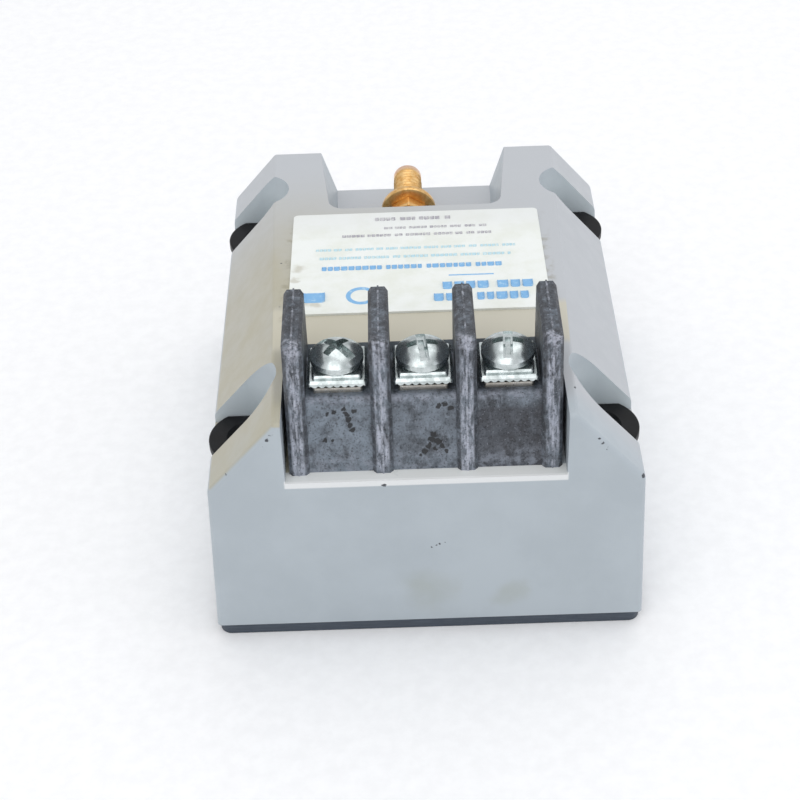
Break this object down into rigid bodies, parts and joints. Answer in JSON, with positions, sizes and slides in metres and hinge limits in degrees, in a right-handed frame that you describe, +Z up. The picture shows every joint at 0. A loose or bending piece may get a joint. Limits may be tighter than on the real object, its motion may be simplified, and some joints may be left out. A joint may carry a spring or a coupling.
{
  "type": "proximity sensor driver module",
  "caption": "Grey die-cast module with sloped shoulders, a barrier strip of screw terminals at one end and a coaxial probe jack in a notch at the other.",
  "frame": {"origin": "centre of the base's underside, between the four mounting holes", "axes": "+Z up out of the base, +Y towards the coaxial jack, -Y towards the screw terminals"},
  "size_m": [0.0634, 0.0752, 0.0501],
  "materials": {
    "painted_casting": "satin grey enamel on a die casting",
    "plate_laminate": "slate laminate",
    "bushing_nylon": "moulded black nylon",
    "label_film": "printed film",
    "strip_phenolic": "black phenolic, dusty",
    "zinc_steel": "bright zinc plate",
    "tinned_brass": "tin plate",
    "gilt_brass": "gold flash",
    "ptfe": "turned",
    "dark_steel": "black oxide",
    "board_laminate": "solder mask",
    "ferrite": "ground",
    "enamelled_copper": "enamel",
    "capacitor_sleeve": "shrunk sleeve",
    "epoxy_black": "moulded epoxy",
    "resistor_lacquer": "dipped lacquer",
    "trimmer_blue": "moulded",
    "wire_red": "extruded",
    "wire_black": "extruded",
    "wire_white": "extruded"
  },
  "bodies": {
    "body": {"housing": "painted_casting", "base_plate": "plate_laminate", "plate_screws": "dark_steel", "mount_bushings": "bushing_nylon", "label_plate": "label_film", "terminal_block": "strip_phenolic", "strip_screws": "zinc_steel", "contact_plate_1": "tinned_brass", "contact_plate_2": "tinned_brass", "contact_plate_3": "tinned_brass", "jack_body": "gilt_brass", "jack_lock_washer": "gilt_brass", "jack_insulator": "ptfe", "jack_contact": "gilt_brass", "circuit_board": "board_laminate", "board_screws": "zinc_steel", "coil_core": "ferrite", "coil_winding": "enamelled_copper", "capacitors": "capacitor_sleeve", "transistors": "epoxy_black", "resistors": "resistor_lacquer", "gain_trimmer": "trimmer_blue", "supply_lead": "wire_red", "common_lead": "wire_black", "signal_lead": "wire_white", "jack_lead": "wire_white"},
    "clamp_1": {"clamp_plate_1": "zinc_steel"},
    "clamp_2": {"clamp_plate_2": "zinc_steel"},
    "clamp_3": {"clamp_plate_3": "zinc_steel"},
    "screw_1": {"terminal_screw_1": "zinc_steel"},
    "screw_2": {"terminal_screw_2": "zinc_steel"},
    "screw_3": {"terminal_screw_3": "zinc_steel"}
  },
  "joints": [
    {"name": "clamp_1_lift", "type": "slide", "parent": "body", "child": "clamp_1", "axis": [0, 0, 1], "range_m": [-0.0005, 0.00238]},
    {"name": "screw_1_turn", "type": "hinge", "parent": "clamp_1", "child": "screw_1", "pos_m": [-0.01176, -0.0282, 0.0434], "axis": [0, 0, 1], "range_deg": [-225, 1080]},
    {"name": "clamp_2_lift", "type": "slide", "parent": "body", "child": "clamp_2", "axis": [0, 0, 1], "range_m": [-0.0005, 0.00238]},
    {"name": "screw_2_turn", "type": "hinge", "parent": "clamp_2", "child": "screw_2", "pos_m": [0, -0.0282, 0.0434], "axis": [0, 0, 1], "range_deg": [-225, 1080]},
    {"name": "clamp_3_lift", "type": "slide", "parent": "body", "child": "clamp_3", "axis": [0, 0, 1], "range_m": [-0.0005, 0.00238]},
    {"name": "screw_3_turn", "type": "hinge", "parent": "clamp_3", "child": "screw_3", "pos_m": [0.01176, -0.0282, 0.0434], "axis": [0, 0, 1], "range_deg": [-225, 1080]}
  ],
  "couplings": [
    {"joint": "screw_1_turn", "follows": "clamp_1_lift", "rad_per_m": 7915.8},
    {"joint": "screw_2_turn", "follows": "clamp_2_lift", "rad_per_m": 7915.8},
    {"joint": "screw_3_turn", "follows": "clamp_3_lift", "rad_per_m": 7915.8}
  ]
}
